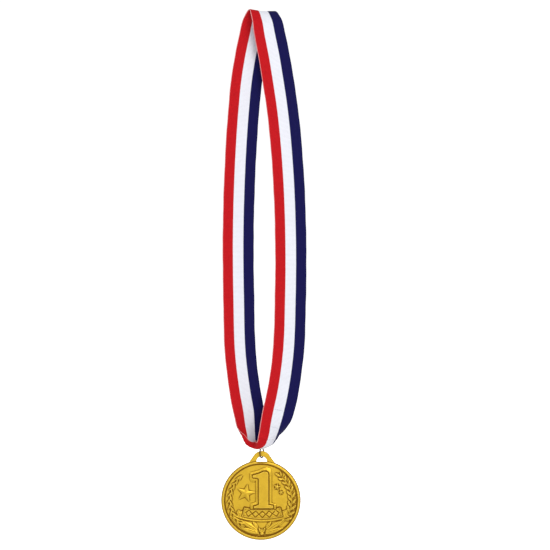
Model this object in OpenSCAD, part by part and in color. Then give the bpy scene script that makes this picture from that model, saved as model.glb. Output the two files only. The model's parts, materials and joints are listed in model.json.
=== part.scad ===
// Award medal hanging on an endless striped neck ribbon.
// The origin is the inside of the ribbon's top fold, where a peg or hook carries it.
// +Z is up, -Y is the side that the medal's face looks to, +X is to the right of the face.

/* [Medal] */
// Diameter of the disc
medal_d = 50.8; // [42:0.1:64]
// Thickness over the rims
rim_t = 3; // [2.6:0.1:4]
// Width of the raised rim on the face
rim_w = 2.1; // [1.5:0.1:3]
// Depth of the field below the rim, on the face
field_depth = 0.8; // [0.6:0.05:1]
// Depth of the flat label recess in the back
back_depth = 0.5; // [0.3:0.05:0.8]
// Height of the low relief above the field
relief_h = 0.45; // [0.3:0.05:0.6]

/* [Bail] */
// Thickness of the bail
bail_t = 2; // [1.6:0.1:2.4]
// Radius of the bail's round top
bail_r = 6; // [5:0.1:7]
// Radius of the bail's half-round hole
bail_hole_r = 3.4; // [2.8:0.1:3.8]
// Metal between the hole and the top of the bail
bail_bar = 3.4; // [2.6:0.1:3.8]
// Height of the bail above the disc
bail_h = 6; // [5:0.1:8]

/* [Jump ring] */
// Diameter of the ring's wire
wire_d = 0.9; // [0.6:0.05:1.1]
// Inner diameter of the ring
ring_id = 5.6; // [5.2:0.1:8]
// Gap between the ring's butted ends
ring_gap = 0.12; // [0.05:0.01:0.3]
// Turn of the ring about the vertical, degrees
ring_yaw = 20; // [0:1:35]

/* [Neck ribbon] */
// Width of the ribbon
ribbon_w = 20; // [14:0.5:25]
// Thickness of the ribbon
ribbon_t = 0.45; // [0.3:0.05:0.6]
// Height of the hanging loop, from the top fold to the bottom fold
loop_h = 279.6; // [220:0.1:420]

/* [Seam] */
// Diameter of the sewing thread
thread_d = 0.3; // [0.2:0.02:0.36]
// Length of one stitch along its row
stitch_l = 1.5; // [1:0.1:2]
// Height of the lower row above the bottom fold
row_height = 13; // [11:0.5:16]
// Height between the two rows
row_pitch = 11; // [8:0.5:14]

/* [Hidden] */

gold = [0.88, 0.71, 0.20];
dark_gold = [0.55, 0.40, 0.14];
ribbon_red = [0.73, 0.10, 0.13];
thread_white = [0.93, 0.93, 0.95];

// ---- fits ----
wire_r = wire_d / 2;
ring_r = ring_id / 2 + wire_r;
hang_gap = 0.1;        // play between the ring and the inside of the ribbon
bail_gap = 0.43;       // play between the ring and the top of the bail's hole
hole_play = 0.25;      // the punched holes are wider than the wire by this, all round
ring_x = 0.5;          // the ring and the bail stand a little to the right of the disc's centre line

// ---- ribbon route ----
// Each station of the centre line holds: x on the front leg, x on the back leg, how far the leg
// stands forward or back, mm from the end of the loop, the turn of the ribbon's width about the
// vertical (degrees) and the curl across its width (1/mm).
// Stations near an end keep their distance from that end when the loop's height changes.
bottom_route = [
    [4.9, -5.7, 4.3, 2.8, 49, 0.060],
    [7.4, -6.6, 5.8, 9.2, 42, 0.064],
    [9.2, -7.3, 5.7, 16.5, 26, 0.036],
    [11.2, -8.1, 5.3, 24.5, 9, 0.010],
    [13.4, -9.8, 4.9, 34, 3, 0]
];
top_route = [
    [10.9, -9.2, 3.9, 44, 0, 0],
    [8.4, -6.8, 3.9, 29, 3, 0],
    [5.6, -3.9, 3.9, 15, 10, 0],
    [3.6, -1.9, 3.2, 5.5, 20, 0]
];
// The free stretch of each leg is a soft arch between the two ends
arch_route = [
    [17, -12.9, 4.6],
    [18.8, -14.3, 4.6],
    [18.9, -14.6, 4.5],
    [17.3, -13.5, 4.3],
    [13.6, -11, 4]
];
arch_low = 57.5;                 // the arch begins this far above the bottom fold
arch_high = 62;                  // and ends this far below the top fold
function arch_z(k) = -loop_h + arch_low + k * (loop_h - arch_low - arch_high) / (len(arch_route) - 1);

// x, y, z, turn and curl of each station, going up a leg; side is 0 for the front leg, 1 for the back
function leg_y(y, side) = (2 * side - 1) * y;
function leg(side) = concat(
    [for (s = bottom_route) [s[side], leg_y(s[2], side), -loop_h + s[3], s[4], s[5]]],
    [for (k = [0:len(arch_route) - 1])
        let (s = arch_route[k]) [s[side], leg_y(s[2], side), arch_z(k), 0, 0]],
    [for (s = top_route) [s[side], leg_y(s[2], side), ribbon_t / 2 - s[3], s[4], s[5]]]);
function reversed(list) = [for (k = [len(list) - 1:-1:0]) list[k]];
bottom_centre = [-1, 0, -loop_h, 52, 0.055];
top_centre = [0.9, 0, ribbon_t / 2, 30, 0];
stations = concat([bottom_centre], leg(0), [top_centre], reversed(leg(1)));

// ---- smooth curve through the stations ----
function xyz(s) = [s[0], s[1], s[2]];
function item(list, k) = list[(k + len(list)) % len(list)];
function gap(a, b) = norm(xyz(b) - xyz(a));
function slope(a, b, c) = ((b - a) / gap(a, b) * gap(b, c) + (c - b) / gap(b, c) * gap(a, b))
    / (gap(a, b) + gap(b, c));
function blend(a, b, c, d, t) = (2 * pow(t, 3) - 3 * pow(t, 2) + 1) * b
    + (pow(t, 3) - 2 * pow(t, 2) + t) * gap(b, c) * slope(a, b, c)
    + (3 * pow(t, 2) - 2 * pow(t, 3)) * c
    + (pow(t, 3) - pow(t, 2)) * gap(b, c) * slope(b, c, d);
steps_per_station = 4;
route = [for (i = [0:len(stations) - 1], k = [0:steps_per_station - 1])
    blend(item(stations, i - 1), item(stations, i), item(stations, i + 1), item(stations, i + 2),
        k / steps_per_station)];

// ---- the ribbon's surface ----
function unit(v) = v / norm(v);
function along(i) = unit(xyz(item(route, i + 1)) - xyz(item(route, i - 1)));
function level(turn) = [cos(turn), sin(turn), 0];
function across(i) = unit(level(route[i][3]) - (level(route[i][3]) * along(i)) * along(i));
function inner(i) = cross(along(i), across(i));
function bow(curl, s) = abs(curl) < 0.0001 ? [s, 0, 0]
    : [sin(curl * s * 180 / PI) / curl, (1 - cos(curl * s * 180 / PI)) / curl, curl * s * 180 / PI];
// A point of the ribbon: i is the ring, s the place across the width, h the height to the inside
function ribbon_point(i, s, h) = let (b = bow(route[i][4], s))
    xyz(route[i]) + across(i) * (b[0] - h * sin(b[2])) + inner(i) * (b[1] + h * cos(b[2]));
cells = 8;
function cell(k) = ribbon_w * (k / cells - 0.5);
ring_points = 2 * (cells + 1);
ribbon_points = [for (i = [0:len(route) - 1]) each concat(
    [for (k = [0:cells]) ribbon_point(i, cell(k), -ribbon_t / 2)],
    [for (k = [cells:-1:0]) ribbon_point(i, cell(k), ribbon_t / 2)])];
function wrap(i) = (i % len(route)) * ring_points;
ribbon_faces = [for (i = [0:len(route) - 1], k = [0:ring_points - 1])
    let (a = wrap(i) + k, b = wrap(i) + (k + 1) % ring_points,
        c = wrap(i + 1) + (k + 1) % ring_points, d = wrap(i + 1) + k)
    each [[a, b, c], [a, c, d]]];

// ---- places that follow from the ribbon and the ring ----
fold_rise = 0.15;            // the fold is this much higher where the ring bears than at its lowest
ribbon_floor = -loop_h + ribbon_t / 2 + fold_rise;
ring_z = ribbon_floor + hang_gap - ring_id / 2;
hole_top_z = ring_z - ring_id / 2 + bail_gap;
medal_r = medal_d / 2;
bail_top = medal_r + bail_h;
hole_base = bail_top - bail_bar - bail_hole_r;
medal_z = hole_top_z - hole_base - bail_hole_r;
field_r = medal_r - rim_w;
floor_t = rim_t / 2 - field_depth;

module at_ring() {
    translate([ring_x, 0, ring_z]) rotate([0, 0, -ring_yaw]) children();
}

// ---- jump ring ----
module ring_wire(r, gap_w) {
    difference() {
        rotate([0, 90, 0]) rotate_extrude($fn = 64) translate([ring_r, 0]) circle(r, $fn = 24);
        // The butt joint sits low at the back
        if (gap_w > 0)
            rotate([-35, 0, 0]) translate([-wire_d, ring_r - wire_d, -gap_w / 2])
                cube([2 * wire_d, 2 * wire_d, gap_w]);
    }
}

module jump_ring() {
    color(dark_gold) at_ring() ring_wire(wire_r, ring_gap);
}

// ---- neck ribbon ----
module neck_ribbon() {
    color(ribbon_red) difference() {
        polyhedron(ribbon_points, ribbon_faces);
        at_ring() ring_wire(wire_r + hole_play, 0);
    }
}

// ---- seam: two bar tacks of thread through the lap, in the middle stripe of the front leg ----
stripe_w = ribbon_w / 3;
stripe_margin = 0.3;         // no thread lies nearer than this to the stripe's edges
shown = 0.76;                // share of a stitch's length that lies on the surface
stitches = floor((stripe_w - 2 * stripe_margin) / stitch_l);
// The first point of the route, going up the front leg, that is above a height over the bottom fold
function row_point(height) = len([for (i = [0:len(route) / 2]) if (route[i][2] < height - loop_h) i]);
module stitch_row(i) {
    for (k = [0:stitches - 1]) {
        mid = (k - (stitches - 1) / 2) * stitch_l;
        p = ribbon_point(i, mid, -ribbon_t / 2);
        q = ribbon_point(i, mid + stitch_l / 2, -ribbon_t / 2);
        dir = unit(q - p);
        translate(p) rotate([0, acos(dir[2]), atan2(dir[1], dir[0])])
            cylinder(r = thread_d / 2, h = stitch_l * shown, $fn = 16, center = true);
    }
}

module seam_stitches() {
    color(thread_white) {
        stitch_row(row_point(row_height));
        stitch_row(row_point(row_height + row_pitch));
    }
}

// ---- medal: drawn face up in the plane of the disc, then stood upright ----
edge = 0.5;      // bevel round the disc
module disc() {
    back = -(rim_t / 2 - back_depth);
    rotate_extrude($fn = 180) polygon([
        [0, back], [field_r - 0.6, back], [field_r - 0.2, -rim_t / 2],
        [medal_r - edge, -rim_t / 2], [medal_r, -rim_t / 2 + edge],
        [medal_r, rim_t / 2 - edge], [medal_r - edge, rim_t / 2], [0, rim_t / 2]]);
}

// What is taken out of the face: all of the field but its relief
module field() {
    difference() {
        translate([0, 0, floor_t]) cylinder(r = field_r, h = rim_t, $fn = 180);
        relief();
    }
}

bail_centre = bail_top - bail_r;
flank = 35;      // direction of the flank's outward normal, degrees above level
flank_l = 7.6;
module bail_outline() {
    tip = [bail_r * cos(flank), bail_centre + bail_r * sin(flank)];
    foot = tip + flank_l * [sin(flank), -cos(flank)];
    translate([ring_x, 0]) {
        translate([0, bail_centre]) circle(bail_r, $fn = 96);
        polygon([[-tip[0], tip[1]], [tip[0], tip[1]], foot, [-foot[0], foot[1]]]);
    }
}

module bail() {
    difference() {
        translate([0, 0, -bail_t / 2]) linear_extrude(bail_t) bail_outline();
        // Nothing of the bail reaches inside the rim
        cylinder(r = field_r + 1, h = 2 * rim_t, center = true, $fn = 180);
    }
}

module bail_hole() {
    difference() {
        translate([ring_x, hole_base, 0]) cylinder(r = bail_hole_r, h = 2 * rim_t, center = true, $fn = 96);
        translate([ring_x - 2 * bail_hole_r, hole_base - 2 * bail_hole_r, -2 * rim_t])
            cube([4 * bail_hole_r, 2 * bail_hole_r, 4 * rim_t]);
    }
}

// Relief sinks a little into the field so that it is one piece with it
module raise(h) {
    translate([0, 0, floor_t - 0.1]) linear_extrude(h + 0.1) children();
}

scale_k = medal_r / 25.4;       // the design on the face follows the disc

module one_outline() {
    polygon(scale_k * [[-3.2, -2], [-3.2, 12.4], [-6.2, 12.4], [-7.3, 13.6], [-7.3, 17.1],
        [-2.2, 18.9], [1.4, 21.1], [5.2, 21.1], [7, 19.4], [7, -2], [9.3, -2], [9.3, -5.9],
        [-6.6, -5.9], [-6.6, -2]]);
}

// The upper step of the numeral, set in from the lower one
module one_face() {
    polygon(scale_k * [[-1.4, -3.8], [-1.4, 14.3], [-5.3, 14.3], [-5.3, 15.9], [-1.6, 17.2],
        [1.7, 19.2], [4.3, 19.2], [5.1, 18.4], [5.1, -3.8]]);
}

module numeral() {
    raise(relief_h) one_outline();
    raise(field_depth) one_face();
}

module star(r) {
    polygon([for (k = [0:9]) (k % 2 == 0 ? r : 0.42 * r) * [sin(36 * k), cos(36 * k)]]);
}

branch_r = 19.6;                // radius of the branches' stems

// A leaf is the lens between two arcs; it points along +X from its stem
module leaf(l, w) {
    arc_r = (l * l / 4 + w * w / 4) / w;
    intersection() {
        translate([l / 2, arc_r - w / 2]) circle(arc_r, $fn = 72);
        translate([l / 2, w / 2 - arc_r]) circle(arc_r, $fn = 72);
    }
}

// Two rows of leaves along an arc just inside the rim, from the tie upwards; side is -1 for the left
// branch. first and last are the angles of the end leaves from straight down.
module branch(side, count, first, last, l, w, splay) {
    pitch = (last - first) / (count - 1);
    for (k = [0:count - 1], row = [-1, 1])
        rotate(side * (first + pitch * (k + row / 4)))
            translate([0, -(branch_r + 1.25 * row) * scale_k])
                rotate(90 - side * 90 - side * row * splay) leaf(l * scale_k, w * scale_k);
}

module wreath() {
    raise(relief_h * 0.8) {
        branch(1, 9, 50, 140, 3.7, 2, 16);
        branch(-1, 10, 50, 146, 3.4, 1.4, 16);
    }
    // Broad leaves that spread from the tie below the banner
    raise(relief_h * 0.8)
        for (side = [-1, 1], k = [0:2])
            translate([side * (2.2 + 1.4 * k) * scale_k, (-20.6 + 1.2 * k) * scale_k])
                rotate(90 - side * (82 - 24 * k)) leaf((11.5 - 2.6 * k) * scale_k, 3.2 * scale_k);
}

module tie() {
    raise(relief_h) {
        for (side = [-1, 1])
            translate([0.7 * scale_k, -19.6 * scale_k])
                rotate(90 + side * 24)
                    leaf(3.6 * scale_k, 1.8 * scale_k);
        translate([0.7 * scale_k, -20.6 * scale_k]) circle(1.1 * scale_k, $fn = 32);
    }
}

banner_r = 47 * scale_k;         // radius of the banner's middle line, centred above it
banner_y = 38 * scale_k;
module band(r_in, r_out, half_angle) {
    translate([0.9 * scale_k, banner_y]) intersection() {
        difference() {
            circle(r_out, $fn = 240);
            circle(r_in, $fn = 240);
        }
        polygon(1.2 * r_out * [[0, 0], [-tan(half_angle), -1], [tan(half_angle), -1]]);
    }
}

module banner() {
    // Folded ends, lower than the middle
    raise(relief_h * 0.6) difference() {
        translate([0, -1.6 * scale_k]) band(banner_r - 2.2 * scale_k, banner_r + 2.4 * scale_k, 20.5);
        for (side = [-1, 1])
            translate([(0.9 + side * 17.6) * scale_k, -9.6 * scale_k])
                rotate(45)
                    square(2.2 * scale_k, center = true);
    }
    raise(relief_h) band(banner_r - 3 * scale_k, banner_r + 3 * scale_k, 15);
    // Raised edges and a row of plain lozenges
    raise(field_depth) {
        band(banner_r - 3 * scale_k, banner_r - 2.5 * scale_k, 15);
        band(banner_r + 2.5 * scale_k, banner_r + 3 * scale_k, 15);
        for (k = [-2:2])
            translate([0.9 * scale_k, banner_y]) rotate(5.2 * k) translate([0, -banner_r])
                scale([1.4, 1.4]) rotate(45) square(1.6 * scale_k, center = true);
    }
}

module relief() {
    numeral();
    raise(relief_h) translate(scale_k * [-9.7, 4.4]) rotate(14) star(6.3 * scale_k);
    // Two small stars stand beside the numeral
    raise(relief_h) {
        translate(scale_k * [10.2, 8.4]) star(2.3 * scale_k);
        translate(scale_k * [12.9, 4.9]) star(1.7 * scale_k);
    }
    wreath();
    tie();
    banner();
}

module medal_body() {
    color(gold) translate([0, 0, medal_z]) rotate([90, 0, 0]) difference() {
        union() {
            disc();
            bail();
        }
        field();
        bail_hole();
    }
}

medal_body();
jump_ring();
neck_ribbon();
seam_stitches();
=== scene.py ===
"""Award medal on an endless striped neck ribbon.

The cast disc with its bail, the wire jump ring, the woven ribbon and the thread of its lap seam are each made
by one operator. Sizes inside the functions are in millimetres until a piece is built, then metres.
"""

import json
import math

import bpy
import numpy as np
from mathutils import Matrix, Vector


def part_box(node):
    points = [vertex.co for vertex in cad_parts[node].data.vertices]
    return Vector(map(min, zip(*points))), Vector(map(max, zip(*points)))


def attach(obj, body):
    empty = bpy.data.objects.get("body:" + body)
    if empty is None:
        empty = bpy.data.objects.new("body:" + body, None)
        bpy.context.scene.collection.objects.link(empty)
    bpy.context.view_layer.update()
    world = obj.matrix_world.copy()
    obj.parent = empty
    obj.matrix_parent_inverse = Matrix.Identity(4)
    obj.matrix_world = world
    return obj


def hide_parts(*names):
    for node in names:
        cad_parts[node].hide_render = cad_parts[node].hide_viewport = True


bl_info = {
    "name": "Award medal",
    "version": (1, 0, 0),
    "blender": (4, 5, 0),
    "location": "View3D > Sidebar > Award",
    "description": "Builds a cast award medal, its jump ring and its striped neck ribbon",
    "category": "Object",
}

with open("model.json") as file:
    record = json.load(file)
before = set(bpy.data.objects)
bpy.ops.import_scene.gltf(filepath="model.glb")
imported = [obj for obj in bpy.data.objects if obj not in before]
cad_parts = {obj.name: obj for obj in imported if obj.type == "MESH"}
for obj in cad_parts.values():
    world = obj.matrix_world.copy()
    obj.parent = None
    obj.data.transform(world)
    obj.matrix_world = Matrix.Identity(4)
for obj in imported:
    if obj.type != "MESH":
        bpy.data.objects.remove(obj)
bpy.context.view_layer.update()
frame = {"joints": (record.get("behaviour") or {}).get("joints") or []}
MM = 0.001
JOINTS = {joint["name"]: joint for joint in frame["joints"]}


def cad_size(node, axis):
    """Size in mm of a CAD node along one axis."""
    low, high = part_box(node)
    return (high[axis] - low[axis]) / MM


RING_CENTRE = np.array(JOINTS["ring_turn"]["pos_m"]) / MM
MEDAL_R = cad_size("medal_body", 0) / 2
BAIL_TOP = 31.4
MEDAL_CENTRE = np.array([0, 0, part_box("medal_body")[1][2] / MM - BAIL_TOP])

# ---- casting, in mm from the centre of the disc, x to the right and y up as the face is read ----
HALF_T = 1.5
FIELD_LEVEL = 0.7
RIM_H = 0.8
RIM_IN = 23.3
RIM_START = 23.7
EDGE_R = 0.8
BACK_LEVEL = 1.0
BACK_RIM_IN = 23.1
BAIL_HALF_T = 1.0
BAIL_R = 6.0
BAIL_Y = BAIL_TOP - BAIL_R
FLANK = math.radians(35)
FLANK_L = 7.6
BAIL_FOOT_R = 23.7
HOLE_X, HOLE_Y, HOLE_R = 0.5, 24.6, 3.4

# ---- ribbon route: x on the front leg, x on the back leg, half offset, height, turn in degrees, curl ----
LOOP_H = 279.6
RIBBON_T = 0.45
BOTTOM_ROUTE = [
    [4.9, -5.7, 4.3, 2.8, 49, 0.060],
    [7.4, -6.6, 5.8, 9.2, 42, 0.064],
    [9.2, -7.3, 5.7, 16.5, 26, 0.036],
    [11.2, -8.1, 5.3, 24.5, 9, 0.010],
    [13.4, -9.8, 4.9, 34, 3, 0],
]
TOP_ROUTE = [
    [10.9, -9.2, 3.9, 44, 0, 0],
    [8.4, -6.8, 3.9, 29, 3, 0],
    [5.6, -3.9, 3.9, 15, 10, 0],
    [3.6, -1.9, 3.2, 5.5, 20, 0],
]
ARCH_ROUTE = [
    [17, -12.9, 4.6],
    [18.8, -14.3, 4.6],
    [18.9, -14.6, 4.5],
    [17.3, -13.5, 4.3],
    [13.6, -11, 4],
]
ARCH_LOW, ARCH_HIGH = 57.5, 62
BOTTOM_CENTRE = [-1, 0, -LOOP_H, 52, 0.055]
TOP_CENTRE = [0.9, 0, RIBBON_T / 2, 30, 0]


LENGTH = {"subtype": "DISTANCE", "unit": "LENGTH"}
COLOUR = {"size": 3, "min": 0, "max": 1, "subtype": "COLOR"}


class MedalSettings(bpy.types.PropertyGroup):
    numeral_height: bpy.props.FloatProperty(
        name="Numeral height", description="Height of the numeral's raised face above the field",
        default=0.8 * MM, min=0, max=1 * MM, **LENGTH)
    relief_height: bpy.props.FloatProperty(
        name="Relief height", description="Height of the leaves, star and banner above the field",
        default=0.46 * MM, min=0.1 * MM, max=0.8 * MM, **LENGTH)
    rings: bpy.props.IntProperty(
        name="Face rings", description="Rings of faces between the centre and the rim of the face",
        default=130, min=40, max=140)
    gold: bpy.props.FloatVectorProperty(
        name="Gold", description="Colour of the plating", default=(0.57, 0.365, 0.032), **COLOUR)
    # Painted shade: this dark colour is painted into the recesses of the relief, and it also tints random
    # cloudy patches of the plating
    recess: bpy.props.FloatVectorProperty(
        name="Recess Shade And Mottle", description="Colour of the plating in the recesses",
        default=(0.17, 0.07, 0.006), **COLOUR)
    # Painted highlight: this bright colour is painted onto the raised edges of the relief
    edge_highlight: bpy.props.FloatVectorProperty(
        name="Edge highlight", description="Colour of the plating on raised edges",
        default=(0.76, 0.53, 0.10), **COLOUR)


class RingSettings(bpy.types.PropertyGroup):
    wire: bpy.props.FloatProperty(
        name="Wire", description="Diameter of the ring's wire", default=0.9 * MM, min=0.4 * MM,
        max=1.2 * MM, **LENGTH)
    gap: bpy.props.FloatProperty(
        name="Gap", description="Gap between the ring's butted ends", default=0.12 * MM, min=0.02 * MM,
        max=0.4 * MM, **LENGTH)
    colour: bpy.props.FloatVectorProperty(
        name="Wire colour", description="Colour of the plated wire", default=(0.17, 0.095, 0.03), **COLOUR)


class RibbonSettings(bpy.types.PropertyGroup):
    width: bpy.props.FloatProperty(
        name="Width", description="Width of the ribbon", default=20 * MM, min=10 * MM, max=30 * MM, **LENGTH)
    lap: bpy.props.FloatProperty(
        name="Lap", description="Overlap of the ribbon's two ends", default=22 * MM, min=12 * MM,
        max=30 * MM, **LENGTH)
    rib_pitch: bpy.props.FloatProperty(
        name="Rib pitch", description="Distance between two woven ribs", default=0.8 * MM, min=0.3 * MM,
        max=2 * MM, **LENGTH)
    red: bpy.props.FloatVectorProperty(
        name="Red stripe", description="Colour of the first stripe", default=(0.52, 0.006, 0.010), **COLOUR)
    white: bpy.props.FloatVectorProperty(
        name="White stripe", description="Colour of the middle stripe", default=(0.80, 0.81, 0.88), **COLOUR)
    navy: bpy.props.FloatVectorProperty(
        name="Navy stripe", description="Colour of the last stripe", default=(0.005, 0.004, 0.068), **COLOUR)
    selvage: bpy.props.FloatVectorProperty(
        name="Selvage", description="Colour of the woven edge", default=(0.86, 0.42, 0.42), **COLOUR)


class SeamSettings(bpy.types.PropertyGroup):
    thread: bpy.props.FloatProperty(
        name="Thread", description="Diameter of the sewing thread", default=0.3 * MM, min=0.15 * MM,
        max=0.5 * MM, **LENGTH)
    stitch: bpy.props.FloatProperty(
        name="Stitch", description="Length of one stitch along its row", default=1.5 * MM, min=0.8 * MM,
        max=3 * MM, **LENGTH)
    colour: bpy.props.FloatVectorProperty(
        name="Thread colour", description="Colour of the sewing thread", default=(0.62, 0.64, 0.72), **COLOUR)


class StageSettings(bpy.types.PropertyGroup):
    floor_drop: bpy.props.FloatProperty(
        name="Floor drop", description="Height of the hanging point above the floor", default=0.42,
        min=0.35, max=2, **LENGTH)
    camera_distance: bpy.props.FloatProperty(
        name="Camera distance", description="Distance from the camera to the medal", default=1.5, min=0.5,
        max=5, **LENGTH)
    frame_width: bpy.props.FloatProperty(
        name="Frame width", description="Width that the camera sees at the medal", default=0.3515, min=0.1,
        max=2, **LENGTH)
    floor: bpy.props.FloatVectorProperty(
        name="Floor", description="Colour of the floor", default=(0.95, 0.95, 0.95), **COLOUR)


# ---- small helpers ----
def smoothstep(x):
    x = np.clip(x, 0, 1)
    return x * x * (3 - 2 * x)


def bell(x, width):
    return np.exp(-((x / width) ** 2))


def turned(x, y, angle):
    """Coordinates in axes that are turned by angle."""
    c, s = math.cos(angle), math.sin(angle)
    return x * c + y * s, -x * s + y * c


def unit(vectors):
    return vectors / np.linalg.norm(vectors, axis=-1, keepdims=True)


def mesh_object(name, points_mm, faces):
    """A mesh object from points in mm in the row frame."""
    mesh = bpy.data.meshes.new(name)
    mesh.from_pydata((np.asarray(points_mm, float) * MM).tolist(), [], faces)
    mesh.update()
    mesh.polygons.foreach_set("use_smooth", [True] * len(mesh.polygons))
    obj = bpy.data.objects.new(name, mesh)
    bpy.context.scene.collection.objects.link(obj)
    return obj


def float_attribute(mesh, name, values):
    attribute = mesh.attributes.new(name, "FLOAT", "POINT")
    attribute.data.foreach_set("value", np.asarray(values, np.float32))


def grid_faces(rows, columns, wrap_rows=False, wrap_columns=True, start=0):
    """Quads over a grid of points that are stored row by row."""
    faces = []
    for i in range(rows if wrap_rows else rows - 1):
        a, b = start + i * columns, start + (i + 1) % rows * columns
        for j in range(columns if wrap_columns else columns - 1):
            k = (j + 1) % columns
            faces.append((a + j, a + k, b + k, b + j))
    return faces


def capped_faces(rows, columns, start=0):
    """A tube of closed rows with a face over each end."""
    last = start + (rows - 1) * columns
    return grid_faces(rows, columns, start=start) + [
        tuple(reversed(range(start, start + columns))), tuple(range(last, last + columns))]


def rounding(radius, steps, quarter_steps):
    """How far in from the side and from the top each step of a rounded edge lies."""
    for step in steps:
        turn = step * math.pi / 2 / quarter_steps
        yield radius * (1 - math.sin(turn)), radius * (1 - math.cos(turn))


# ---- relief of the face ----
def polygon_distance(x, y, corners):
    """Signed distance to a polygon, negative inside."""
    corners = np.asarray(corners, float)
    nearest = np.full(x.shape, 1e9)
    inside = np.zeros(x.shape, bool)
    for (ax, ay), (bx, by) in zip(corners, np.roll(corners, -1, 0)):
        ex, ey = bx - ax, by - ay
        t = np.clip(((x - ax) * ex + (y - ay) * ey) / (ex * ex + ey * ey), 0, 1)
        nearest = np.minimum(nearest, np.hypot(x - ax - t * ex, y - ay - t * ey))
        crosses = (ay > y) != (by > y)
        side = (x - ax) * ey - (y - ay) * ex
        inside ^= crosses & ((side < 0) == (ey > 0))
    return np.where(inside, -nearest, nearest)


def rise(distance, height, bevel=0.35):
    """A flat top of that height inside a signed distance, with a soft bevel across its outline."""
    return height * smoothstep(0.5 - distance / bevel)


NUMERAL_OUTLINE = [
    (-7.2, 17.7), (-7.3, 13.4), (-6.3, 11.9), (-4.9, 11.5), (-3.4, 12.2), (-3.4, -1.0), (-6.8, -2.3),
    (-6.8, -5.8), (9.7, -5.8), (9.7, -2.5), (6.9, -1.8), (6.9, 17.7), (6.6, 19.4), (5.5, 20.6), (3.6, 21.1),
    (1.4, 20.6), (-1.6, 19.2), (-4.9, 18.3)]
NUMERAL_FACE = [
    (-4.6, -5.2), (-4.6, -3.7), (-1.5, -2.9), (-1.5, 13.6), (-2.6, 14.3), (-5.2, 14.4), (-5.4, 16.0),
    (-1.2, 17.2), (1.4, 18.4), (3.4, 18.5), (4.6, 17.6), (4.9, 16.4), (4.9, -2.9), (7.9, -3.3), (7.9, -5.2)]


def numeral(x, y, height):
    """A numeral with a broad sloping bevel, a fine groove above it and the raised face within."""
    outer, face = polygon_distance(x, y, NUMERAL_OUTLINE), polygon_distance(x, y, NUMERAL_FACE)
    climb = np.clip(-outer / np.maximum(face - outer, 0.3), 0, 1)
    bevel = rise(outer, 0.12 * height, 0.25) + 0.62 * height * climb
    bevel = bevel - rise(outer, 0.42 * height, 0.2) * bell(face - 0.3, 0.34)
    return np.maximum(bevel, rise(face, height, 0.35))


def star(x, y, centre, radius, turn, height, waist=0.40):
    """A five-pointed star with ridges from its centre to its points."""
    u, v = turned(x - centre[0], y - centre[1], turn)
    reach, angle = np.hypot(u, v), np.arctan2(v, u)
    # Fold into one tenth of the star, between a tip and the waist beside it
    tenth = math.pi / 5
    folded = np.abs((angle + tenth) % (2 * tenth) - tenth)
    p, q = reach * np.cos(folded), reach * np.sin(folded)
    wx, wy = waist * radius * math.cos(tenth), waist * radius * math.sin(tenth)
    # Distance past the straight edge from the tip to the waist
    length = math.hypot(wx - radius, wy)
    outside = ((p - radius) * wy - q * (wx - radius)) / length
    depth = radius * wy / length
    inside = np.clip(-outside / depth, 0, 1)
    return np.where(outside < 0.15, rise(outside, 0.34 * height, 0.3) + 0.66 * height * inside, 0)


def leaf(x, y, stem, angle, length, width, height, lobes=0.0):
    """A pointed leaf, domed to both sides of a sunken midrib."""
    u, v = turned(x - stem[0], y - stem[1], angle)
    t = np.clip(u / length, 0, 1)
    half = 0.5 * width * np.sin(math.pi * t ** 0.8) ** 0.8 * (1 + lobes * np.cos(6 * math.pi * t))
    half = np.maximum(half, 1e-3)
    within = np.clip(1 - np.abs(v) / half, 0, 1) * (u > 0) * (u < length)
    dome = smoothstep(within / 0.75) * (0.55 + 0.45 * smoothstep(half / (0.35 * width)))
    return height * dome * (1 - 0.42 * bell(v, 0.16) * (t > 0.08) * (t < 0.9))


def arc_band(x, y, centre, r_in, r_out, half_angle):
    """Signed distance to part of a ring around straight down from its centre."""
    dx, dy = x - centre[0], centre[1] - y
    r = np.hypot(dx, dy)
    ends = (np.abs(np.arctan2(dx, dy)) - half_angle) * r
    return np.maximum(np.abs(r - (r_in + r_out) / 2) - (r_out - r_in) / 2, ends)


BANNER_CENTRE = (0.9, 38.0)
BANNER_R = 47.0


def banner(x, y, height):
    """A curved banner with raised edges, a row of plain lozenges and folded swallow-tail ends."""
    cx, cy = BANNER_CENTRE
    tails = arc_band(x, y, (cx, cy - 2.1), BANNER_R - 2.3, BANNER_R + 2.5, math.radians(20.5))
    for side in (-1, 1):
        notch = math.radians(45 + side * 20)
        u, v = turned(x - (cx + side * 17.7), y - (cy - 2.1 - 44.6), notch)
        tails = np.maximum(tails, 1.55 - np.maximum(np.abs(u), np.abs(v)))
    low = rise(tails, 0.72 * height, 0.4)
    low = low - rise(tails, 0.3 * height, 0.2) * bell(tails + 0.75, 0.2)
    low = low - 0.2 * height * bell(tails - 0.3, 0.25)
    main = arc_band(x, y, BANNER_CENTRE, BANNER_R - 3, BANNER_R + 3, math.radians(15.2))
    raised = rise(main, 0.85 * height, 0.4)
    border = rise(main, 0.65 * height, 0.3) * rise(-0.55 - main, 1, 0.3)
    top = np.where(main > 0.1, low, np.maximum(0, raised + border))
    # The fold's shadow line where each tail goes behind the banner
    top = top - 0.3 * height * bell(main - 0.25, 0.22) * (low > 0.02)
    for k in range(-2, 3):
        angle = math.radians(5.3 * k)
        u, v = turned(x - cx - BANNER_R * math.sin(angle), y - cy + BANNER_R * math.cos(angle), angle)
        lozenge = (np.abs(u) / 1.75 + np.abs(v) / 1.6 - 1) * 1.18
        top = top + rise(lozenge, 0.75 * height, 0.3) - 0.22 * height * bell(lozenge - 0.3, 0.22)
    return top


BRANCH_R = 19.7
TIE_X = 0.7
REED_R, REED_PITCH = 21.7, 2.6


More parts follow.
